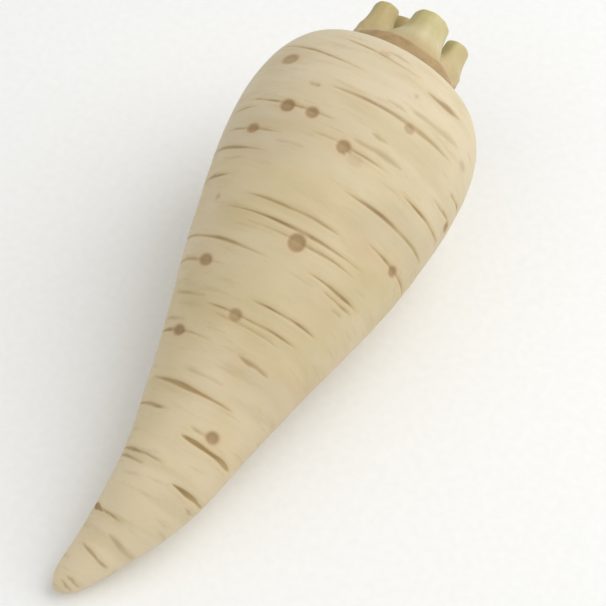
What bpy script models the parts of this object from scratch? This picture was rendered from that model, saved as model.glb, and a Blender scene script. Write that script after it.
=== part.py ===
"""A parsley root, lying on its side as picked.

The body is turned as a straight upright profile, curled at its tip, and then
laid down so that its belly and its tip rest on the ground. Four stubs of cut
leaf stalks stand on the crown.

All driving dimensions are in millimetres. The object is built in metres,
+Z up, with the crown towards +Y and the tip towards -Y. Its origin is the
middle of the base of its bounding box.
"""
import math

import bmesh
import bpy
from mathutils import Matrix, Vector

MM = 0.001

# ---- Driving dimensions ----
# Heights are measured along the root's axis, from the tip (0) to the crown.
TIP_LENGTH = 4.5          # the blunt round end of the tip
WIDEST = 115.5            # where the body is thickest
SHOULDER = 136.6          # the top of the shoulder, where the crown starts
CROWN_TOP = 142.0         # the flat top of the crown's collar
GAP = 0.3                 # clearance between the crown and each stalk
REST_DEPTH = 0.3          # how deep the belly is pressed flat where it rests

# Half thickness of the body at heights along the axis.
BODY_RADII = (
    (0.0, 3.0), (11.0, 6.0), (25.0, 9.6), (41.0, 12.9), (60.0, 17.3),
    (78.0, 22.3), (96.0, 26.2), (WIDEST, 28.1),
)
# How far the axis stands off a straight line: the tip curls to one side.
CURL = (
    (0.0, 12.1), (13.0, 5.6), (30.0, 0.2), (50.0, -0.5), (70.0, -0.8),
    (92.0, -0.8), (WIDEST, 0.0), (SHOULDER, 0.0),
)
CURL_DROOP = 30.0         # the tip curls to -X and this many degrees down
# The shoulder is a superellipse: round at the widest ring, then nearly flat.
SHOULDER_RISE = 2.0
SHOULDER_SQUARE = 5.5

COLLAR_FOOT = 15.5        # radius where the crown's collar meets the shoulder
COLLAR_WAIST = 13.8       # radius of the collar's wall at its foot
COLLAR_TOP = 13.0         # radius of the collar's wall at its rim
COLLAR_ROUND = 1.2        # rounding of the collar's rim

# Stubs of leaf stalks: place round the crown in degrees from +X, distance
# from the crown's middle, radius at the foot, radius at the cut, and height.
STALKS = {
    "stalk_left": (160.0, 9.1, 4.0, 3.0, 9.9),
    "stalk_middle": (60.0, 6.1, 5.2, 4.6, 9.6),
    "stalk_right": (-14.0, 9.5, 3.7, 3.0, 10.1),
    "stalk_rear": (219.0, 5.8, 3.7, 3.6, 12.0),
}
STALK_ROUND = 0.9         # rounding of the cut end's edge
FLARE_HEIGHT = 0.35       # share of a stub's height over which its foot narrows
FLARE_LEFT = 0.4          # share of the narrowing that is still to come there

# ---- Mesh fineness ----
BODY_SEGMENTS = 40
STALK_SEGMENTS = 18
BODY_RING_STEP = 3.2
ROUND_STEPS = 5
SHOULDER_STEPS = 11
WELD = 1e-6               # points closer than this are one, in metres
RIM_WELD = 2e-5           # the same, round the flats that the root rests on
STEEPEST_LEAN = 30.0      # upper bound when the resting angle is searched
LEAN_ROUNDS = 40          # halvings of that search

# ---- Colours (linear) ----
SKIN_COLOUR = (0.64, 0.54, 0.34, 1.0)
STALK_COLOUR = (0.60, 0.56, 0.31, 1.0)


def smooth(stations, at, end_slope=None):
    """Value at a height, on a smooth curve through the stations."""
    last = len(stations) - 1

    def slope(index):
        if index == last and end_slope is not None:
            return end_slope
        before = stations[max(index - 1, 0)]
        after = stations[min(index + 1, last)]
        return (after[1] - before[1]) / (after[0] - before[0])

    index = 0
    while index < last - 1 and at > stations[index + 1][0]:
        index += 1
    (low, low_value), (high, high_value) = stations[index], stations[index + 1]
    span = high - low
    part = min(max((at - low) / span, 0.0), 1.0)
    return (
        (2 * part**3 - 3 * part**2 + 1) * low_value
        + (part**3 - 2 * part**2 + part) * span * slope(index)
        + (3 * part**2 - 2 * part**3) * high_value
        + (part**3 - part**2) * span * slope(index + 1)
    )


def body_radius(height):
    """Half thickness of the body between the tip's round end and the shoulder."""
    return smooth(BODY_RADII, height, end_slope=0.0)


def shoulder_radius(height):
    """Half thickness of the shoulder above the widest ring."""
    rise = (height - WIDEST) / (SHOULDER - WIDEST)
    return BODY_RADII[-1][1] * (1.0 - rise**SHOULDER_RISE) ** (1.0 / SHOULDER_SQUARE)


def shoulder_height(radius):
    """Height on the shoulder that has this half thickness."""
    rise = 1.0 - (radius / BODY_RADII[-1][1]) ** SHOULDER_SQUARE
    return WIDEST + (SHOULDER - WIDEST) * rise ** (1.0 / SHOULDER_RISE)


def quarter_turn(steps):
    """Angles from 0 to 90 degrees, in equal steps."""
    return [math.pi / 2 * step / steps for step in range(steps + 1)]


def body_profile():
    """Radius and height of the body's outline, from the tip up to the crown's middle."""
    outline = [(0.0, 0.0)]
    for angle in quarter_turn(ROUND_STEPS)[1:]:
        height = TIP_LENGTH * (1.0 - math.cos(angle))
        outline.append((body_radius(height) * math.sin(angle), height))

    rings = round((WIDEST - TIP_LENGTH) / BODY_RING_STEP)
    for ring in range(1, rings + 1):
        height = TIP_LENGTH + (WIDEST - TIP_LENGTH) * ring / rings
        outline.append((body_radius(height), height))

    foot = shoulder_height(COLLAR_FOOT)
    sweep = math.asin((foot - WIDEST) / (SHOULDER - WIDEST))
    for step in range(1, SHOULDER_STEPS + 1):
        height = WIDEST + (SHOULDER - WIDEST) * math.sin(sweep * step / SHOULDER_STEPS)
        outline.append((shoulder_radius(height), height))

    # The collar's foot is a hollow quarter round from the shoulder to its wall.
    hollow = COLLAR_FOOT - COLLAR_WAIST
    for angle in quarter_turn(ROUND_STEPS)[1:]:
        outline.append((
            COLLAR_FOOT - hollow * math.sin(angle),
            foot + hollow * (1.0 - math.cos(angle)),
        ))
    for angle in quarter_turn(ROUND_STEPS):
        outline.append((
            COLLAR_TOP - COLLAR_ROUND * (1.0 - math.cos(angle)),
            CROWN_TOP - COLLAR_ROUND * (1.0 - math.sin(angle)),
        ))
    outline.append((0.0, CROWN_TOP))
    return outline


def stalk_profile(foot, cut, height):
    """Radius and height of a stalk stub's outline, from its foot up to its cut end."""
    waist = cut + FLARE_LEFT * (foot - cut)
    outline = [(0.0, 0.0), (foot, 0.0), (waist, FLARE_HEIGHT * height)]
    for angle in quarter_turn(ROUND_STEPS):
        outline.append((
            cut - STALK_ROUND * (1.0 - math.cos(angle)),
            height - STALK_ROUND * (1.0 - math.sin(angle)),
        ))
    outline.append((0.0, height))
    return outline


def turned(name, outline, segments, collection):
    """An upright solid turned about Z from an outline that starts at its foot."""
    profile = bpy.data.meshes.new(name + "_profile")
    points = [(radius * MM, 0.0, height * MM) for radius, height in reversed(outline)]
    edges = [(index, index + 1) for index in range(len(points) - 1)]
    profile.from_pydata(points, edges, [])
    solid = bpy.data.objects.new(name, profile)
    collection.objects.link(solid)
    screw = solid.modifiers.new("turn", "SCREW")
    screw.axis = "Z"
    screw.angle = math.tau
    screw.steps = screw.render_steps = segments
    screw.use_merge_vertices = True
    screw.merge_threshold = WELD
    bpy.context.view_layer.update()
    graph = bpy.context.evaluated_depsgraph_get()
    solid.data = bpy.data.meshes.new_from_object(solid.evaluated_get(graph))
    solid.data.name = name
    solid.modifiers.clear()
    bpy.data.meshes.remove(profile)
    return solid


def edit(solid, change):
    """Runs a change on a solid's mesh and shades the result smooth."""
    mesh = bmesh.new()
    mesh.from_mesh(solid.data)
    change(mesh)
    mesh.to_mesh(solid.data)
    mesh.free()
    solid.data.shade_smooth()


def weld(mesh):
    """Closes a turned mesh's seam and its poles."""
    bmesh.ops.remove_doubles(mesh, verts=mesh.verts, dist=WELD)
    bmesh.ops.recalc_face_normals(mesh, faces=mesh.faces)


def curl(mesh):
    """Moves each ring to the curled axis and turns it square to the axis."""
    weld(mesh)
    droop = math.radians(CURL_DROOP)
    # Laying the root down turns -X to the left and +Y to the ground.
    side = Vector((-math.cos(droop), math.sin(droop), 0.0))
    half_step = 0.5       # the axis's slope is taken over this far either way
    for vertex in mesh.verts:
        height = vertex.co.z / MM
        if height >= SHOULDER:
            continue
        above = min(height + half_step, SHOULDER)
        below = max(height - half_step, 0.0)
        drift = smooth(CURL, above) - smooth(CURL, below)
        lean = math.atan2(drift, above - below)
        across = vertex.co.dot(side)
        vertex.co += side * (smooth(CURL, height) * MM + across * (math.cos(lean) - 1.0))
        vertex.co.z -= across * math.sin(lean)


def laid(lean):
    """Turns the upright root down to +Y, with its crown raised by an angle."""
    return Matrix.Rotation(lean - math.pi / 2, 4, "X")


def resting_lean(points):
    """The angle at which the tip and the belly touch the ground together."""
    low, high = 0.0, math.radians(STEEPEST_LEAN)
    middle = SHOULDER * MM / 2
    for _ in range(LEAN_ROUNDS):
        lean = (low + high) / 2
        turn = laid(lean)
        tip = min((turn @ point).z for point in points if point.z < middle)
        belly = min((turn @ point).z for point in points if point.z >= middle)
        if tip > belly:
            low = lean
        else:
            high = lean
    return (low + high) / 2


def press_flat(solid, turn, ground):
    """Cuts the body off level with the ground, which leaves flats to rest on."""
    back = turn.inverted()
    normal = (turn.to_3x3().inverted() @ Vector((0.0, 0.0, -1.0))).normalized()

    def cut(mesh):
        parts = list(mesh.verts) + list(mesh.edges) + list(mesh.faces)
        bmesh.ops.bisect_plane(
            mesh, geom=parts, plane_co=back @ Vector((0.0, 0.0, ground)),
            plane_no=normal, clear_outer=True,
        )
        rims = [edge for edge in mesh.edges if edge.is_boundary]
        bmesh.ops.holes_fill(mesh, edges=rims, sides=0)
        bmesh.ops.remove_doubles(mesh, verts=mesh.verts, dist=RIM_WELD)
        bmesh.ops.recalc_face_normals(mesh, faces=mesh.faces)

    edit(solid, cut)


def give_material(solid, name, colour, roughness):
    """Gives a solid its own matt or satin material."""
    material = bpy.data.materials.new(name)
    material.use_nodes = True
    shader = material.node_tree.nodes["Principled BSDF"]
    shader.inputs["Base Color"].default_value = colour
    shader.inputs["Roughness"].default_value = roughness
    shader.inputs["Metallic"].default_value = 0.0
    solid.data.materials.clear()
    solid.data.materials.append(material)


for old in list(bpy.data.objects):
    bpy.data.objects.remove(old, do_unlink=True)

collection = bpy.data.collections.new("parsley_root")
bpy.context.scene.collection.children.link(collection)

root = turned("root", body_profile(), BODY_SEGMENTS, collection)
edit(root, curl)
give_material(root, "root_skin", SKIN_COLOUR, 0.55)
solids = [root]

for name, (around, out, foot, cut, height) in STALKS.items():
    stalk = turned(name, stalk_profile(foot, cut, height), STALK_SEGMENTS, collection)
    edit(stalk, weld)
    give_material(stalk, name, STALK_COLOUR, 0.5)
    # Laying the root down turns the crown's -Y side up, so angles run that way.
    stalk.location = (
        out * math.cos(math.radians(around)) * MM,
        -out * math.sin(math.radians(around)) * MM,
        (CROWN_TOP + GAP) * MM,
    )
    solids.append(stalk)

points = [vertex.co.copy() for vertex in root.data.vertices]
turn = laid(resting_lean(points))
ground = min((turn @ point).z for point in points) + REST_DEPTH * MM
press_flat(root, turn, ground)

bpy.context.view_layer.update()
corners = [turn @ solid.matrix_world @ v.co for solid in solids for v in solid.data.vertices]
middle_x = (min(c.x for c in corners) + max(c.x for c in corners)) / 2
middle_y = (min(c.y for c in corners) + max(c.y for c in corners)) / 2

frame = bpy.data.objects.new("parsley_root", None)
frame.empty_display_size = 0.02
collection.objects.link(frame)
frame.matrix_world = Matrix.Translation((-middle_x, -middle_y, -ground)) @ turn
for solid in solids:
    solid.parent = frame
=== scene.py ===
import math
import random

import bpy
import numpy as np
from mathutils import Matrix, Vector
from mathutils import noise as solid_noise


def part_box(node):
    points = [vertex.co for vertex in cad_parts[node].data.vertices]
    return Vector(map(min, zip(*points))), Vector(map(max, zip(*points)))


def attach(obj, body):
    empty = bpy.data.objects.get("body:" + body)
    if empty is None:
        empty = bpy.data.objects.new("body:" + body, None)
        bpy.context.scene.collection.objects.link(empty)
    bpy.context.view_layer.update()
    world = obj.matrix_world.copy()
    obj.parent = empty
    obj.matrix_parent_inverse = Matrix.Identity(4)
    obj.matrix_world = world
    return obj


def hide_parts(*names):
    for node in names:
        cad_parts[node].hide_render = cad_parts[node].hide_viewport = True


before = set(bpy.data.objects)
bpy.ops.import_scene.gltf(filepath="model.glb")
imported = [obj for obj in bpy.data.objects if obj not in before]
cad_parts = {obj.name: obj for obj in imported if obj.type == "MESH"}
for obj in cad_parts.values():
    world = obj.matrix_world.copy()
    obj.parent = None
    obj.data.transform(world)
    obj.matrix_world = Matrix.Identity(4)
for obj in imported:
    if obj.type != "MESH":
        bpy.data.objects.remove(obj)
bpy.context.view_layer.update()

bpy.ops.object.select_all(action="DESELECT")


# ---------------------------------------------------------------------------
# The root itself: one tapering storage root with its crown collar, as pulled
# and washed. It grew as one piece, lies on its belly, and its tip curls over.
# ---------------------------------------------------------------------------
MM = 0.001
AROUND = 24                    # sides of the cage, before it is subdivided
ROUNDING = 3                   # subdivision levels of every piece
LEAN = math.radians(10.518)    # found by the part's source, so the belly lies flat
# The thickness and the curl below were fitted by a separate program and then
# rounded to 0.1 mm.
BODY_RADIUS = 28.1
TIP_ROUND, WIDEST, SHOULDER = 4.5, 115.5, 136.6
BODY_RADII = (
    (0.0, 3.0), (11.0, 6.0), (25.0, 9.6), (41.0, 12.9), (60.0, 17.3),
    (78.0, 22.3), (96.0, 26.2), (WIDEST, BODY_RADIUS),
)
BODY_RINGS = 37
SHOULDER_SQUARENESS = 5.5      # 2 would be an ellipse
CROWN_RINGS = (
    (136.45, 16.2), (136.95, 14.7), (138.1, 13.9), (139.6, 13.5), (140.9, 13.1),
    (141.75, 12.0), (142.3, 10.2), (143.4, 6.6), (144.0, 3.0),
)
CURL = (
    (0.0, 12.1), (13.0, 5.6), (30.0, 0.2), (50.0, -0.5), (70.0, -0.8),
    (92.0, -0.8), (WIDEST, 0.0), (SHOULDER, 0.0),
)
CURL_DROOP = math.radians(30.0)


def smooth(stations, at, end_slope=None):
    """Value at a height, or at many, on a smooth curve through the stations."""
    heights = np.array([s[0] for s in stations])
    values = np.array([s[1] for s in stations])
    slopes = np.empty(len(stations))
    slopes[1:-1] = (values[2:] - values[:-2]) / (heights[2:] - heights[:-2])
    slopes[0] = (values[1] - values[0]) / (heights[1] - heights[0])
    slopes[-1] = (values[-1] - values[-2]) / (heights[-1] - heights[-2])
    if end_slope is not None:
        slopes[-1] = end_slope
    at = np.clip(np.asarray(at, float), heights[0], heights[-1])
    i = np.clip(np.searchsorted(heights, at, side="right") - 1, 0, len(stations) - 2)
    span = heights[i + 1] - heights[i]
    t = (at - heights[i]) / span
    return (
        (2 * t**3 - 3 * t**2 + 1) * values[i]
        + (t**3 - 2 * t**2 + t) * span * slopes[i]
        + (3 * t**2 - 2 * t**3) * values[i + 1]
        + (t**3 - t**2) * span * slopes[i + 1]
    )


def rings_of_the_root():
    """Height and radius of each ring of the cage, from the tip to the crown."""
    rings = []
    for turn in (16, 34, 52, 70, 90):
        height = TIP_ROUND * (1 - math.cos(math.radians(turn)))
        radius = float(smooth(BODY_RADII, height, 0.0)) * math.sin(math.radians(turn))
        rings.append((height, radius))
    for step in range(1, BODY_RINGS + 1):
        height = TIP_ROUND + (WIDEST - TIP_ROUND) * step / BODY_RINGS
        rings.append((height, float(smooth(BODY_RADII, height, 0.0))))
    for turn in (9, 18, 27, 36, 45, 54, 62, 69, 75, 80):
        rise = math.sin(math.radians(turn))
        radius = BODY_RADIUS * (1 - rise**2) ** (1 / SHOULDER_SQUARENESS)
        rings.append((WIDEST + (SHOULDER - WIDEST) * rise, radius))
    return rings + list(CROWN_RINGS)


def extrude_along(rings, sides):
    """A closed cage along Y, grown ring by ring from a filled circle."""
    axis = Vector((0.0, 1.0, 0.0))
    widen = 3.0 / (2.0 + math.cos(math.tau / sides))   # subdividing draws a cage in
    height, radius = rings[0]
    bpy.ops.mesh.primitive_circle_add(
        vertices=sides, radius=radius * widen * MM, fill_type="NGON",
        location=axis * height * MM, rotation=(math.pi / 2, 0.0, 0.0),
    )
    piece = bpy.context.object
    bpy.ops.object.transform_apply(location=True, rotation=True, scale=True)
    bpy.ops.object.mode_set(mode="EDIT")
    for next_height, next_radius in rings[1:]:
        rise = axis * (next_height - height) * MM
        bpy.ops.mesh.extrude_region_move(TRANSFORM_OT_translate={"value": rise})
        grow = next_radius / radius
        bpy.ops.transform.resize(
            value=(grow, grow, grow), center_override=axis * next_height * MM)
        height, radius = next_height, next_radius
    bpy.ops.mesh.select_all(action="SELECT")
    bpy.ops.mesh.remove_doubles(threshold=1e-6)
    bpy.ops.mesh.select_all(action="DESELECT")
    bpy.ops.mesh.select_non_manifold()
    if bpy.context.object.data.total_vert_sel:
        bpy.ops.mesh.edge_face_add()
    bpy.ops.mesh.select_all(action="SELECT")
    bpy.ops.mesh.normals_make_consistent(inside=False)
    bpy.ops.object.mode_set(mode="OBJECT")
    return piece


def rounded(piece):
    """Rounds a cage with an applied subdivision surface."""
    rounding = piece.modifiers.new("rounding", "SUBSURF")
    rounding.levels = rounding.render_levels = ROUNDING
    bpy.ops.object.modifier_apply(modifier=rounding.name)


def points_of(piece):
    """The piece's vertices, in millimetres."""
    points = np.empty(len(piece.data.vertices) * 3)
    piece.data.vertices.foreach_get("co", points)
    return points.reshape(-1, 3) / MM


def set_points(piece, points):
    """Moves the piece's vertices to these places in millimetres."""
    metres = np.ascontiguousarray(points * MM, np.float32)
    piece.data.vertices.foreach_set("co", metres.ravel())
    piece.data.update()


def keep_values(piece, name, values):
    """Stores one number per vertex for the material."""
    layer = piece.data.attributes.new(name, "FLOAT", "POINT")
    layer.data.foreach_set("value", np.ascontiguousarray(values, np.float32))


def lumps(points, size, seed):
    """Soft noise from about -1 to 1, whose lumps are this many units across."""
    shift = Vector((seed * 3.17, seed * 7.31, seed * 1.93))
    return np.array([solid_noise.noise(Vector(p) / size + shift) for p in points])


root = extrude_along(rings_of_the_root(), AROUND)
root.name = root.data.name = "root_flesh"
rounded(root)

# Scars round the body, where fine side roots and growth rings were: height
# and angle at each end (0 is +X, 90 is up), half width, and darkness. Their
# heights and angles, and the lenticels' below with their radii, were worked
# out by a separate program, then rounded or nudged. The scars' widths and all
# the darkness were chosen.
SCARS = [
    (125.5, 140, 122.7, 89, 0.36, 0.85), (129.6, 108, 128.4, 64, 0.36, 0.88),
    (130.7, 82, 130.6, 69, 0.30, 0.60), (115.2, 106, 115.0, 100, 0.80, 0.55),
    (116.0, 93, 117.0, 31, 0.85, 0.80), (110.0, 135, 108.6, 89, 0.42, 0.95),
    (108.0, 149, 108.0, 129, 0.38, 0.85), (103.0, 145, 102.2, 110, 0.40, 0.90),
    (100.6, 108, 100.5, 95, 0.26, 0.45), (99.0, 166, 97.7, 113, 0.52, 0.85),
    (95.6, 139, 95.5, 123, 0.30, 0.50), (104.5, 92, 104.2, 55, 0.40, 0.80),
    (106.6, 75, 106.5, 51, 0.95, 0.45), (109.7, 70, 109.6, 62, 0.60, 0.55),
    (92.0, 147, 92.0, 137, 0.34, 0.75), (126.5, 55, 127.0, 33, 1.00, 0.70),
    (120.0, 57, 121.2, 29, 1.05, 0.45), (118.8, 71, 118.7, 60, 0.40, 0.45),
    (91.4, 176, 91.8, 128, 0.60, 0.90), (88.2, 110, 88.2, 60, 0.46, 0.85),
    (84.5, 123, 85.2, 42, 0.52, 1.00), (82.7, 105, 83.2, 43, 0.42, 0.85),
    (78.5, 174, 77.2, 92, 0.50, 0.95), (72.7, 166, 72.7, 113, 0.45, 0.75),
    (65.5, 148, 65.5, 115, 0.42, 0.65), (78.5, 64, 79.0, 24, 0.48, 1.00),
    (77.3, 50, 77.3, 25, 0.40, 0.80), (75.6, 39, 75.6, 30, 0.34, 0.65),
    (64.3, 111, 65.0, 42, 0.44, 0.90), (63.0, 100, 63.0, 57, 0.32, 0.70),
    (68.5, 82, 69.0, 36, 0.50, 1.00), (60.0, 160, 60.0, 127, 0.45, 0.65),
    (57.5, 166, 57.5, 99, 0.62, 0.90), (57.4, 72, 57.0, 46, 0.70, 0.75),
    (50.6, 106, 50.6, 73, 0.34, 0.50), (47.0, 138, 47.0, 56, 0.80, 0.95),
    (41.5, 158, 41.5, 109, 0.62, 0.85), (40.2, 79, 40.2, 52, 0.38, 0.75),
    (38.2, 80, 37.7, 10, 0.85, 1.00), (31.0, 156, 32.0, 86, 0.62, 0.90),
    (29.0, 156, 30.0, 106, 0.58, 0.85), (30.0, 60, 30.0, -4, 0.70, 1.00),
    (28.0, 26, 28.0, 0, 0.36, 0.80), (17.2, 156, 19.0, 80, 0.50, 0.90),
    (17.2, 162, 17.9, 118, 1.05, 1.00), (10.8, 112, 10.8, 32, 0.48, 0.90),
    (15.7, 78, 15.0, 4, 0.90, 0.50), (4.5, 80, 4.5, 24, 0.36, 0.80),
    (3.0, 84, 3.0, 22, 0.32, 0.70),
    (96.0, 66, 96.7, 5, 0.60, 0.90), (102.2, 41, 103.0, 1, 0.50, 0.95),
    (107.0, 26, 108.2, 2, 0.46, 0.90), (112.0, 17, 113.0, -3, 0.44, 0.85),
    (90.2, 44, 90.5, -8, 0.48, 0.95),
]
# Round lenticels: height, angle, radius, how far drawn out across, darkness.
SPOTS = [
    (120.7, 125, 1.55, 1.6, 0.75), (108.7, 111, 1.55, 1.2, 1.0),
    (108.5, 98, 1.4, 1.1, 0.9), (102.5, 125, 1.2, 1.5, 0.9),
    (104.0, 78, 1.6, 1.0, 0.9), (82.5, 76, 1.95, 1.0, 0.9),
    (72.7, 124, 1.35, 1.5, 0.9), (115.7, 56, 1.3, 1.0, 0.6),
    (64.2, 88, 1.35, 1.1, 0.75), (57.5, 128, 1.25, 1.6, 1.0),
    (40.5, 54, 1.25, 1.3, 0.9), (107.2, 1, 1.1, 1.8, 0.9),
    (90.0, 21, 1.1, 1.5, 0.9), (86.5, 132, 0.7, 1.2, 0.45),
    (119.5, 18, 1.0, 1.9, 0.3), (123.7, 60, 0.6, 1.0, 0.4),
    (129.4, 83, 1.0, 1.2, 0.3), (102.6, 71, 1.3, 1.5, 0.2),
]
# The far side and the belly carry the same kinds of marks, up to the shoulder.
chance = random.Random(17)
LAST_MARK = 132.0
SLENDER = 30.0            # below this height a mark goes farther round
mark_height = 7.0
while mark_height < LAST_MARK:
    start = chance.uniform(172, 300)
    length = chance.uniform(16, 70) * (1.0 if mark_height > SLENDER else 1.3)
    end = min(start + length, 346)
    climb = chance.uniform(-1.2, 1.2)
    SCARS.append((
        mark_height, start, mark_height + climb, end,
        chance.uniform(0.28, 0.50), chance.choice((0.5, 0.8, 0.9, 1.0)),
    ))
    if chance.random() < 0.30:
        SPOTS.append((
            mark_height - 0.4 + climb * 0.5, (start + end) / 2 + chance.uniform(-9, 9),
            chance.uniform(0.9, 1.6), chance.uniform(1.0, 1.3), chance.uniform(0.6, 1.0),
        ))
    mark_height += chance.uniform(1.6, 5.0)

# Each point of the skin knows its height and angle on the straight root.
straight = points_of(root)
height_at = straight[:, 1].copy()
radius_at = np.hypot(straight[:, 0], straight[:, 2])
angle_at = np.degrees(np.arctan2(straight[:, 2], straight[:, 0]))
scar_off = np.full(len(straight), 9.0)
scar_dark = np.zeros(len(straight))
for low_height, low_angle, high_height, high_angle, half, dark in SCARS:
    if low_angle > high_angle:
        low_height, low_angle, high_height, high_angle = (
            high_height, high_angle, low_height, low_angle)
    middle = (low_angle + high_angle) / 2
    turned_by = (angle_at - middle + 180) % 360 - 180
    part = turned_by / (high_angle - low_angle) + 0.5
    wave = 0.10 * np.sin(part * 5 + low_height) + 0.04 * np.sin(part * 13 + low_angle)
    centre = low_height + (high_height - low_height) * np.clip(part, 0, 1) + wave
    span = (high_angle - low_angle) * 1.12
    part = turned_by / span + 0.5
    beyond = np.maximum(np.abs(turned_by) - span / 2, 0.0)
    beyond = np.radians(beyond) * np.maximum(radius_at, 1.0)
    inside = np.clip(4 * part * (1 - part), 0.0, 1.0)
    width = 0.60 * half * inside**0.5 * (1.0 + 0.25 * np.sin(part * 9 + low_height * 3))
    off = np.hypot(height_at - centre, beyond) - width + 0.18 * (1 - inside**0.5)
    closer = off < scar_off
    scar_off[closer] = off[closer]
    scar_dark[closer] = dark
spot_off = np.full(len(straight), 9.0)
spot_dark = np.zeros(len(straight))
for at_height, at_angle, size, broad, dark in SPOTS:
    along = height_at - at_height
    arc = np.radians((angle_at - at_angle + 180) % 360 - 180) * np.maximum(radius_at, 1.0)
    off = np.hypot(along, arc / broad) - size
    closer = off < spot_off
    spot_off[closer] = off[closer]
    spot_dark[closer] = dark
on_body = np.clip((LAST_MARK + 2.0 - height_at) / 3.0, 0.0, 1.0)

GROOVE, LIP, BOWL, RIM = 0.15, 0.05, 0.34, 0.05     # depths and heights in mm
# The skin is never a perfect turning: it is drawn in a little in places, has
# fine creases across, and dips into each scar and lenticel.
swell = lumps(straight * (1, 1.6, 1), 26.0, 1) * 0.22 - 0.22
ripple = lumps(straight * (0.35, 2.4, 0.35), 9.0, 2) * 0.07 - 0.07
groove = -GROOVE * scar_dark * np.clip((0.25 - scar_off) / 0.5, 0.0, 1.0)
lip = LIP * scar_dark * np.exp(-((scar_off - 0.55) / 0.4) ** 2)
bowl = np.clip(-spot_off / 1.2, 0.0, 1.0)
dimple = -BOWL * spot_dark * bowl * (2.0 - bowl)
rim = RIM * spot_dark * np.exp(-((spot_off - 0.35) / 0.4) ** 2)
deep = (swell + ripple + groove + lip + dimple + rim) * on_body
crown_ridges = np.clip((height_at - SHOULDER) / 1.5, 0.0, 1.0)
deep += crown_ridges * (0.14 * lumps(straight, 4.5, 3) - 0.10)
deep *= np.clip(radius_at / 3.0, 0.0, 1.0)
outward = straight * (1, 0, 1) / np.maximum(radius_at, 0.01)[:, None]
shaped = straight + outward * deep[:, None]

# The tip curls to one side and a little down.
side = np.array([-math.cos(CURL_DROOP), 0.0, -math.sin(CURL_DROOP)])
drift = np.arctan(smooth(CURL, height_at + 0.5) - smooth(CURL, height_at - 0.5))
drift *= height_at < SHOULDER


def curled(points):
    """Bends points of the straight root to its curl."""
    across = points @ side
    aside = smooth(CURL, height_at) + across * (np.cos(drift) - 1)
    moved = points + side * aside[:, None]
    moved[:, 1] -= across * np.sin(drift)
    return moved


# The root lies with its crown raised, pressed a little flat where it rests.
tilt = np.array(Matrix.Rotation(LEAN, 3, "X"))
plain = curled(straight) @ tilt.T
root_low, root_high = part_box("root")
PRESSED = 0.3
place = np.array([
    (root_low.x + root_high.x) / 2 / MM - (plain[:, 0].min() + plain[:, 0].max()) / 2,
    root_low.y / MM - plain[:, 1].min(),
    -(plain[:, 2].min() + PRESSED),
])
laid = curled(shaped) @ tilt.T + place
laid[:, 2] = np.maximum(laid[:, 2], 0.0)
set_points(root, laid)

keep_values(root, "scar_off", scar_off)
keep_values(root, "scar_dark", scar_dark * on_body)
keep_values(root, "spot_off", spot_off)
keep_values(root, "spot_dark", spot_dark * on_body)
keep_values(root, "height", height_at)
keep_values(root, "crown", np.clip((height_at - 133.0) / 9.0, 0.0, 1.0))
bpy.ops.object.shade_smooth()


def linear(colour):
    """The linear RGBA of an sRGB hex colour."""
    parts = [int(colour[i:i + 2], 16) / 255 for i in (1, 3, 5)]
    return [
        p / 12.92 if p <= 0.04045 else ((p + 0.055) / 1.055) ** 2.4 for p in parts
    ] + [1.0]


def node(tree, kind, inputs, output=0, stops=(), **settings):
    """Adds a node with its settings and colour stops, fills or links its inputs
    by name or number, and gives the output asked for."""
    made = tree.nodes.new("ShaderNode" + kind)
    for name, value in settings.items():
        setattr(made, name, value)
    if stops:
        points = made.color_ramp.elements
        points[0].position, points[-1].position = stops[0][0], stops[-1][0]
        for position, _ in stops[1:-1]:
            points.new(position)
        for point, (_, colour) in zip(points, stops):
            point.color = linear(colour)
    for name, value in inputs.items():
        socket = made.inputs[name]
        if isinstance(value, bpy.types.NodeSocket):
            tree.links.new(value, socket)
        else:
            socket.default_value = linear(value) if isinstance(value, str) else value
    return made.outputs[output] if made.outputs else None


# Washed parsley root skin: a thin cream periderm over pale flesh. It is matt
# with a faint waxy sheen, mottled in soft yellows, with tan scars across.
skin = bpy.data.materials.new("washed_root_skin")
skin.use_nodes = True
tree = skin.node_tree
tree.nodes.clear()
where = node(tree, "TexCoord", {}, "Object")
# Its streaks run round the root, so space is stretched across the root's axis.
upright = node(tree, "Mapping", {"Vector": where, "Rotation": (-LEAN, 0.0, 0.0)})
hooped = node(tree, "Mapping", {"Vector": upright, "Scale": (0.45, 1.0, 0.45)})
streaked = node(tree, "Mapping", {"Vector": upright, "Scale": (0.16, 1.0, 0.16)})

# Each pattern's space, the millimetres across one lump, detail and roughness.
skin_pattern = {
    name: node(tree, "TexNoise", {
        "Vector": space, "Scale": 1.0 / (across * MM),
        "Detail": detail, "Roughness": rough})
    for name, (space, across, detail, rough) in {
        "mottle": (where, 22.0, 2.0, 0.5),
        "patches": (hooped, 9.0, 3.0, 0.5),
        "blush": (hooped, 13.0, 2.0, 0.5),
        "ashen": (hooped, 16.0, 2.0, 0.5),
        "bands": (streaked, 4.2, 2.0, 0.5),
        "streaks": (streaked, 1.7, 4.0, 0.6),
        "speckle": (where, 1.1, 2.0, 0.5),
        "scar_edge": (hooped, 2.6, 2.0, 0.5),
        "scar_gaps": (hooped, 4.0, 2.0, 0.5),
        "scar_browns": (where, 9.0, 2.0, 0.5),
        "collar_edge": (where, 5.0, 2.0, 0.5),
        "collar_browns": (where, 2.4, 3.0, 0.5),
        "cork": (where, 1.3, 3.0, 0.6),
    }.items()
}
marked = {
    name: node(tree, "Attribute", {}, "Fac", attribute_name=name)
    for name in ("height", "scar_off", "scar_dark", "spot_off", "spot_dark", "crown")
}
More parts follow.
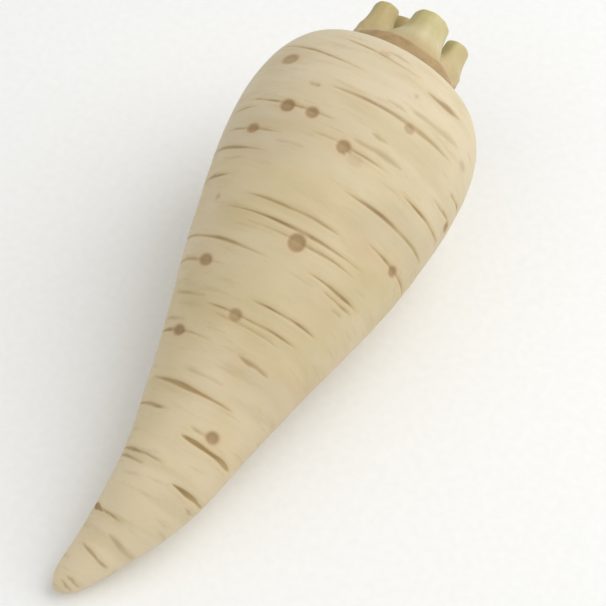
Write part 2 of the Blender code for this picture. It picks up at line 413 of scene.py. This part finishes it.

# Washes of colour lie one over the other: what carries the wash, where it
# starts and where it is full, its strength and its colour. The shoulder is
# painted paler as painted light, where the key light falls on it; the young
# flesh at the tip is paler.
tone = node(
    tree, "ValToRGB", {"Fac": skin_pattern["mottle"]},
    stops=((0.32, "#cfbe95"), (0.50, "#d4c39d"), (0.68, "#dac9aa")))
for carrier, start, full, strength, colour in (
    (skin_pattern["patches"], 0.50, 0.72, 0.45, "#c5b386"),
    (skin_pattern["patches"], 0.45, 0.25, 0.35, "#dbceb3"),
    (skin_pattern["blush"], 0.52, 0.74, 0.30, "#cdb08a"),
    (skin_pattern["blush"], 0.46, 0.28, 0.22, "#c9bd94"),
    (skin_pattern["ashen"], 0.50, 0.70, 0.40, "#c3b498"),
    # painted light: this wash paints the shoulder paler where the key light falls
    (marked["height"], 88.0, 122.0, 0.42, "#ded2b8"),
    (marked["height"], 62.0, 8.0, 0.65, "#e6d6b4"),
    (skin_pattern["bands"], 0.50, 0.70, 0.35, "#c6b48a"),
    (skin_pattern["streaks"], 0.52, 0.75, 0.40, "#bda87c"),
    (skin_pattern["speckle"], 0.60, 0.80, 0.12, "#b79f70"),
):
    wash = node(tree, "MapRange", {
        "Value": carrier, "From Min": start, "From Max": full, "To Max": strength,
    }, interpolation_type="SMOOTHSTEP")
    tone = node(tree, "Mix", {0: wash, 6: tone, 7: colour}, 2, data_type="RGBA")

# A scar's edge wanders, a faint scar is softer, and its brown has gaps.
wander = node(
    tree, "Math", {0: skin_pattern["scar_edge"], 1: 0.30, 2: -0.15},
    operation="MULTIPLY_ADD")
scar_off = node(tree, "Math", {0: marked["scar_off"], 1: wander}, operation="ADD")
softness = node(
    tree, "Math", {0: marked["scar_dark"], 1: -0.60, 2: 0.80},
    operation="MULTIPLY_ADD")
scar_core = node(tree, "Math", {0: scar_off, 1: softness}, operation="DIVIDE")
gaps = node(tree, "MapRange", {
    "Value": skin_pattern["scar_gaps"], "From Min": 0.35, "From Max": 0.65,
    "To Min": 0.66, "To Max": 0.96,
}, interpolation_type="SMOOTHSTEP")
gappy = node(tree, "Math", {0: marked["scar_dark"], 1: gaps}, operation="MULTIPLY")
scar_brown = node(
    tree, "ValToRGB", {"Fac": skin_pattern["scar_browns"]},
    stops=((0.32, "#8e6f49"), (0.45, "#947a4b"), (0.65, "#9f8354")))
# A lenticel is a smooth tan disc that darkens to its edge: partly its own
# colour and partly painted shading, lighter in its middle as a painted
# highlight and darker at its rim as painted shade.
spot_edge_shade = node(tree, "MapRange", {
    "Value": marked["spot_off"], "From Min": -1.4, "From Max": 0.0,
}, interpolation_type="SMOOTHSTEP")
spot_tan_and_shade = node(
    tree, "Mix", {0: spot_edge_shade, 6: "#a98d64", 7: "#9b7f57"}, 2, data_type="RGBA")
# Each mark has a pale stain round it: how far off the mark its colour starts
# and is full, its strength, how dark that mark is, and the colour.
laid_on = {}
for name, off, start, full, strength, dark, colour in (
    ("scar_stain", scar_off, 1.3, 0.0, 0.20, marked["scar_dark"], "#cdb27f"),
    ("scar", scar_core, 1.0, -1.15, 1.0, gappy, scar_brown),
    ("spot_stain", marked["spot_off"], 1.5, 0.1, 0.40, marked["spot_dark"], "#d3b792"),
    ("spot", marked["spot_off"], 0.42, -0.50, 0.94, marked["spot_dark"], spot_tan_and_shade),
):
    near = node(tree, "MapRange", {
        "Value": off, "From Min": start, "From Max": full, "To Max": strength,
    }, interpolation_type="SMOOTHSTEP")
    laid_on[name] = node(tree, "Math", {0: near, 1: dark}, operation="MULTIPLY")
    tone = node(
        tree, "Mix", {0: laid_on[name], 6: tone, 7: colour}, 2, data_type="RGBA")

# The crown's collar is corky and browner, with an edge that wanders.
collar_edge = node(
    tree, "Math", {0: skin_pattern["collar_edge"], 1: 0.12, 2: -0.06},
    operation="MULTIPLY_ADD")
collar_edge = node(tree, "Math", {0: marked["crown"], 1: collar_edge}, operation="ADD")
collar = node(tree, "MapRange", {
    "Value": collar_edge, "From Min": 0.34, "From Max": 0.50,
}, interpolation_type="SMOOTHSTEP")
collar_tone = node(
    tree, "ValToRGB", {"Fac": skin_pattern["collar_browns"]},
    stops=((0.32, "#a28860"), (0.68, "#b2976d")))
for carrier, start, full, strength, colour in (
    (skin_pattern["cork"], 0.55, 0.75, 0.30, "#8d7049"),
    (marked["crown"], 0.90, 1.0, 1.0, "#a2905e"),
):
    wash = node(tree, "MapRange", {
        "Value": carrier, "From Min": start, "From Max": full, "To Max": strength,
    }, interpolation_type="SMOOTHSTEP")
    collar_tone = node(
        tree, "Mix", {0: wash, 6: collar_tone, 7: colour}, 2, data_type="RGBA")
tone = node(tree, "Mix", {0: collar, 6: tone, 7: collar_tone}, 2, data_type="RGBA")

# The sheen is uneven and duller on a scar. Fine streaks and cork stand proud.
sheen = node(
    tree, "Math", {0: skin_pattern["mottle"], 1: 0.14, 2: 0.46},
    operation="MULTIPLY_ADD")
sheen = node(
    tree, "Math", {0: laid_on["scar"], 1: 0.14, 2: sheen}, operation="MULTIPLY_ADD")
cork = node(tree, "Math", {0: skin_pattern["cork"], 1: collar}, operation="MULTIPLY")
grain = node(tree, "Math", {0: cork, 1: 1.6, 2: 0.0}, operation="MULTIPLY_ADD")
for name, share in (("streaks", 0.7), ("speckle", 0.3)):
    grain = node(
        tree, "Math", {0: skin_pattern[name], 1: share, 2: grain},
        operation="MULTIPLY_ADD")
relief = node(tree, "Bump", {"Height": grain, "Strength": 0.22, "Distance": 0.25 * MM})
surface = node(tree, "BsdfPrincipled", {
    "Base Color": tone, "Roughness": sheen, "Normal": relief, "IOR": 1.42,
    "Specular IOR Level": 0.35, "Subsurface Weight": 0.12,
    "Subsurface Radius": (1.0, 0.7, 0.4), "Subsurface Scale": 1.5 * MM,
})
node(tree, "OutputMaterial", {"Surface": surface})
root.data.materials.append(skin)
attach(root, "root")
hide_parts("root")


# ---------------------------------------------------------------------------
# The leaf stalk stubs: fleshy, ribbed petiole bases that stand on the crown,
# cut straight across with a knife. Each flares where it joins the crown.
# ---------------------------------------------------------------------------
STUB_SIDES = 16
# painted shade: the side of each stub, away from the key light, that is painted darker
# and greener
PAINTED_SHADE_SIDE = 160         # degrees round a stub to its greener, shaded side
WEB, WEB_HEIGHT = 3.4, 3.4     # how far and how high a foot reaches aside
MIDDLE, MIDDLE_SINK = 5.0, 1.2   # feet dive under the skin this near the middle
RIM_SINK = 0.35           # how far a foot's rim lies under the skin
CROWN_TURN = 12.2         # where the crown's top turns down into its wall
# The crown's outline from the shoulder to its middle, as many close (radius,
# height) points, on which the feet of the stubs are laid.
crown_middle = (CROWN_RINGS[-1][0], 0.0)
crown_heights, crown_radii = np.array(rings_of_the_root()[-12:] + [crown_middle]).T
steps = np.linspace(0, len(crown_radii) - 1, 500)
crown_outline = np.stack([
    np.interp(steps, range(len(crown_radii)), crown_radii),
    np.interp(steps, range(len(crown_radii)), crown_heights),
], 1)
# Radii at the foot and at the cut, how far the foot flares, the slant of the
# cut in degrees with the side that is lower, the side on which the foot runs
# into its neighbour's, ribs, how green and how tan.
STUBS = {
    "stalk_left": dict(
        foot=4.0, cut=3.1, flare=3.0, slant=4, low=200, web=11, ribs=7,
        green=0.25, tan=0.85, seed=3),
    "stalk_middle": dict(
        foot=5.2, cut=4.7, flare=3.4, slant=6, low=-50, web=191, ribs=9,
        green=0.55, tan=0.15, seed=5),
    "stalk_right": dict(
        foot=3.7, cut=3.1, flare=2.8, slant=3, low=-20, web=129, ribs=7,
        green=0.35, tan=0.60, seed=7),
    "stalk_rear": dict(
        foot=3.7, cut=3.6, flare=1.8, slant=8, low=75, web=60, ribs=6,
        green=0.05, tan=1.0, seed=9),
}


def stalk_stub(name, foot, cut, flare, slant, low, web, ribs, green, tan, seed):
    """One cut stub that stands where the frame has it, with its flared foot."""
    low_corner, high_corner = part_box(name)
    stand = np.array([
        (low_corner.x + high_corner.x) / 2 / MM,
        low_corner.y / MM + foot * math.sin(LEAN),
        low_corner.z / MM + foot * math.cos(LEAN),
    ])
    top = (high_corner.y / MM - 0.96 * cut * math.sin(LEAN) - stand[1]) / math.cos(LEAN)
    rings = []
    for height in (-0.9, -0.6, -0.3, 0.1, 0.6, 1.2, 2.0, 3.0, 4.2, 5.5, 6.9):
        settle = min(max(height, 0.0) / (top - 3.0), 1.0)
        rings.append((height, foot + (cut - foot) * settle**0.6
                      + flare * math.exp(-(height + 0.9) / 2.0)))
    rings += [(top - 1.3, cut + 0.02), (top - 0.6, cut - 0.08), (top - 0.15, cut - 0.45),
              (top, cut - 1.1), (top - 0.02, cut * 0.42)]
    stub = extrude_along(rings, STUB_SIDES)
    stub.name = stub.data.name = "cut_" + name
    rounded(stub)
    points = points_of(stub)
    up = points[:, 1].copy()
    radius = np.hypot(points[:, 0], points[:, 2])
    angle = np.arctan2(points[:, 2], points[:, 0])
    outward = points * (1, 0, 1) / np.maximum(radius, 0.01)[:, None]
    # Ribs run the length of a stalk and fade towards its foot.
    on_wall = np.clip(up / 2.5, 0.0, 1.0) * np.clip(radius / cut, 0.0, 1.0) ** 3
    rib = np.cos(angle * ribs + seed + 0.12 * up)
    swell = lumps(points * (1, 0.5, 1) + seed * 11, 4.0, seed) * 0.25 - 0.05
    deep = on_wall * (0.07 * rib - 0.03) + swell * np.clip(radius / cut, 0, 1)
    aside = np.clip(np.cos(angle - math.radians(web)), 0.0, 1.0) ** 2
    reach = WEB * aside * np.exp(-(np.maximum(up, 0.0) / WEB_HEIGHT) ** 2)
    deep += reach * np.clip(radius / foot, 0.0, 1.0)
    points = points + outward * deep[:, None]
    # The knife left the end a little slanted and the cut face a little dished.
    down = np.cos(angle - math.radians(low)) * radius
    share = np.clip(up / top, 0.0, 1.0) ** 3
    points[:, 1] -= share * (down + 0.4 * cut) * math.tan(math.radians(slant))
    face = np.clip((up - (top - 0.5)) / 0.4, 0.0, 1.0)
    points[:, 1] -= face * (0.06 + 0.08 * lumps(points * (1, 0, 1) + seed, 1.3, seed))
    # The foot spreads over the crown and down the collar's wall: its lowest
    # points lie on the crown's skin, and the rim sinks just under it.
    centre = (stand - place) @ tilt
    off_axis = points + centre * (1, 0, 1)
    out = np.maximum(np.hypot(off_axis[:, 0], off_axis[:, 2]), 0.01)
    at = up + centre[1] - 0.9 * np.maximum(out - CROWN_TURN, 0.0)
    on_crown = np.argmin(
        (out[:, None] - crown_outline[:, 0]) ** 2
        + (at[:, None] - crown_outline[:, 1]) ** 2, 1)
    lie = np.clip((2.4 - up) / 2.7, 0.0, 1.0)
    lie = lie**2 * (3 - 2 * lie)
    sink = RIM_SINK * np.clip((-0.3 - up) / 0.5, 0.0, 1.0)
    goal_out = crown_outline[on_crown, 0] * (1 - sink / CROWN_TURN)
    goal_up = crown_outline[on_crown, 1] - sink - centre[1]
    goal_up -= MIDDLE_SINK * np.clip(1 - crown_outline[on_crown, 0] / MIDDLE, 0.0, 1.0)
    spread = (out + lie * (goal_out - out)) / out
    points[:, 1] += lie * (goal_up - points[:, 1])
    points[:, 0] = off_axis[:, 0] * spread - centre[0]
    points[:, 2] = off_axis[:, 2] * spread - centre[2]
    set_points(stub, points @ tilt.T + stand)
    keep_values(stub, "up", up)
    keep_values(stub, "face", face)
    keep_values(stub, "from_middle", radius / cut)
    keep_values(stub, "green", np.full(len(up), green))
    keep_values(stub, "tan", np.full(len(up), tan))
    # painted shade: how far round each point is towards the stub's side painted darker as
    # painted shade
    painted_shade_side = np.clip(np.cos(angle - math.radians(PAINTED_SHADE_SIDE)), 0.0, 1.0) ** 2
    keep_values(stub, "painted_shade_side", painted_shade_side)
    bpy.ops.object.shade_smooth()
    return stub


# Fleshy cut leaf stalk: pale straw at its foot to yellow-green above, satin
# and a little translucent, with darker veins and a ring of vessels in the cut.
stalk_flesh = bpy.data.materials.new("cut_leaf_stalk")
stalk_flesh.use_nodes = True
tree = stalk_flesh.node_tree
tree.nodes.clear()
where = node(tree, "TexCoord", {}, "Object")
upright = node(tree, "Mapping", {"Vector": where, "Rotation": (-LEAN, 0.0, 0.0)})
drawn_up = node(tree, "Mapping", {"Vector": upright, "Scale": (1.0, 0.12, 1.0)})
stalk_pattern = {
    name: node(tree, "TexNoise", {
        "Vector": space, "Scale": 1.0 / (across * MM), "Detail": detail})
    for name, (space, across, detail) in {
        "fibres": (drawn_up, 0.9, 3.0),
        "clouds": (where, 3.5, 2.0),
        "pith": (where, 1.2, 2.0),
    }.items()
}
grown = {
    name: node(tree, "Attribute", {}, "Fac", attribute_name=name)
    for name in ("up", "green", "tan", "painted_shade_side", "face", "from_middle")
}
tone = node(
    tree, "ValToRGB", {"Fac": stalk_pattern["clouds"]},
    stops=((0.30, "#cbbe94"), (0.70, "#d6cca9")))
# Washes up the stalk: what carries the wash, where it starts and is full, its
# strength, how far this stub takes it, and its colour. A stub is painted darker
# and greener on its left side as painted shade, and browner where it leaves the crown.
for carrier, start, full, strength, taken, colour in (
    (1.0, 0.0, 1.0, 0.80, grown["tan"], "#b59d6c"),
    (grown["up"], 1.5, 9.0, 0.85, grown["green"], "#bcb26c"),
    # painted shade on each stub's left side, away from the key light
    (grown["up"], 0.5, 4.0, 0.60, grown["painted_shade_side"], "#a39a5b"),
    (stalk_pattern["fibres"], 0.50, 0.75, 0.18, 1.0, "#ab9a5c"),
    (grown["up"], 2.6, 0.0, 1.0, 1.0, "#bfa97c"),
    (grown["up"], 0.0, -0.6, 1.0, 1.0, "#ae9068"),
):
    wash = node(tree, "MapRange", {
        "Value": carrier, "From Min": start, "From Max": full, "To Max": strength,
    }, interpolation_type="SMOOTHSTEP")
    wash = node(tree, "Math", {0: wash, 1: taken}, operation="MULTIPLY")
    tone = node(tree, "Mix", {0: wash, 6: tone, 7: colour}, 2, data_type="RGBA")

# The cut face is pale pith with vessels 0.75 mm apart, most of them between
# the middle and the rim, and a darker rim.
VESSEL_GAP = 0.75
pith = node(
    tree, "ValToRGB", {"Fac": stalk_pattern["pith"]},
    stops=((0.35, "#cbc394"), (0.65, "#d8d1aa")))
vessels = node(
    tree, "TexVoronoi", {"Vector": upright, "Scale": 1.0 / (VESSEL_GAP * MM)},
    feature="F1")
share = 0.40
for carrier, start, full in (
    (vessels, 0.42, 0.20), (grown["from_middle"], 0.40, 0.62),
    (grown["from_middle"], 0.92, 0.78),
):
    there = node(tree, "MapRange", {
        "Value": carrier, "From Min": start, "From Max": full,
    }, interpolation_type="SMOOTHSTEP")
    share = node(tree, "Math", {0: there, 1: share}, operation="MULTIPLY")
pith = node(tree, "Mix", {0: share, 6: pith, 7: "#b3a566"}, 2, data_type="RGBA")
rim = node(tree, "MapRange", {
    "Value": grown["from_middle"], "From Min": 0.86, "From Max": 0.98, "To Max": 0.6,
}, interpolation_type="SMOOTHSTEP")
pith = node(tree, "Mix", {0: rim, 6: pith, 7: "#b9ae78"}, 2, data_type="RGBA")
tone = node(tree, "Mix", {0: grown["face"], 6: tone, 7: pith}, 2, data_type="RGBA")

sheen = node(
    tree, "Math", {0: stalk_pattern["fibres"], 1: 0.16, 2: 0.40},
    operation="MULTIPLY_ADD")
relief = node(tree, "Bump", {
    "Height": stalk_pattern["fibres"], "Strength": 0.16, "Distance": 0.15 * MM})
surface = node(tree, "BsdfPrincipled", {
    "Base Color": tone, "Roughness": sheen, "Normal": relief, "IOR": 1.42,
    "Specular IOR Level": 0.4, "Subsurface Weight": 0.18,
    "Subsurface Radius": (1.0, 0.9, 0.35), "Subsurface Scale": 1.2 * MM,
})
node(tree, "OutputMaterial", {"Surface": surface})

for name, shape in STUBS.items():
    stub = stalk_stub(name, **shape)
    stub.data.materials.append(stalk_flesh)
    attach(stub, "root")
    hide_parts(name)
    bpy.ops.object.select_all(action="DESELECT")


# ---------------------------------------------------------------------------
# The studio: a pale seamless table, a large soft light from the upper right
# and a weak fill. The camera looks down on the root as it lies.
# ---------------------------------------------------------------------------
UNDER_THE_ROOT = 0.4 * MM
bpy.ops.mesh.primitive_plane_add(size=6.0, location=(0.0, 0.0, -UNDER_THE_ROOT))
table = bpy.context.object
table.name = "table"
# Matt white paper, whose faint fibre is drawn as coarse as 2 mm to show.
paper = bpy.data.materials.new("matt_white_paper")
paper.use_nodes = True
tree = paper.node_tree
tree.nodes.clear()
where = node(tree, "TexCoord", {}, "Object")
fibre = node(tree, "TexNoise", {"Vector": where, "Scale": 1.0 / (2.0 * MM)})
white = node(
    tree, "ValToRGB", {"Fac": fibre}, stops=((0.3, "#f4f4f2"), (0.7, "#f7f7f5")))
surface = node(tree, "BsdfPrincipled", {
    "Base Color": white, "Roughness": 0.9, "Specular IOR Level": 0.1})
node(tree, "OutputMaterial", {"Surface": surface})
table.data.materials.append(paper)
bpy.ops.object.select_all(action="DESELECT")

# The point aimed at and the azimuth come from the same fit as the thickness.
AIM = Vector((
    (root_low.x + root_high.x) / 2 + 6.85 * MM,
    root_low.y + 77.82 * MM,
    19.65 * MM,
))
AZIMUTH, ELEVATION, DISTANCE = math.radians(28.43), math.radians(58.0), 0.370
back = Vector((
    math.sin(AZIMUTH) * math.cos(ELEVATION),
    -math.cos(AZIMUTH) * math.cos(ELEVATION),
    math.sin(ELEVATION),
))
bpy.ops.object.camera_add(location=AIM + back * DISTANCE,
                          rotation=back.to_track_quat("Z", "Y").to_euler())
camera = bpy.context.object
camera.data.lens = 100.0
camera.data.sensor_width = 36.0
camera.data.clip_start = 0.01
bpy.context.scene.camera = camera


def soft_light(name, direction, distance, size, watts):
    """A square soft box that faces the root."""
    direction = Vector(direction).normalized()
    bpy.ops.object.light_add(type="AREA", location=AIM + direction * distance,
                             rotation=direction.to_track_quat("Z", "Y").to_euler())
    light = bpy.context.object
    light.name = name
    light.data.size = size
    light.data.energy = watts


soft_light("key_softbox", (0.64, 0.52, 0.95), 0.9, 0.9, 6.0)
soft_light("fill_softbox", (-0.5, -0.9, 0.9), 1.0, 1.2, 2.1)
world = bpy.data.worlds.new("pale_studio")
world.use_nodes = True
sky = world.node_tree.nodes["Background"]
sky.inputs["Color"].default_value = linear("#ffffff")
sky.inputs["Strength"].default_value = 0.51
bpy.context.scene.world = world
bpy.context.scene.view_settings.view_transform = "Standard"
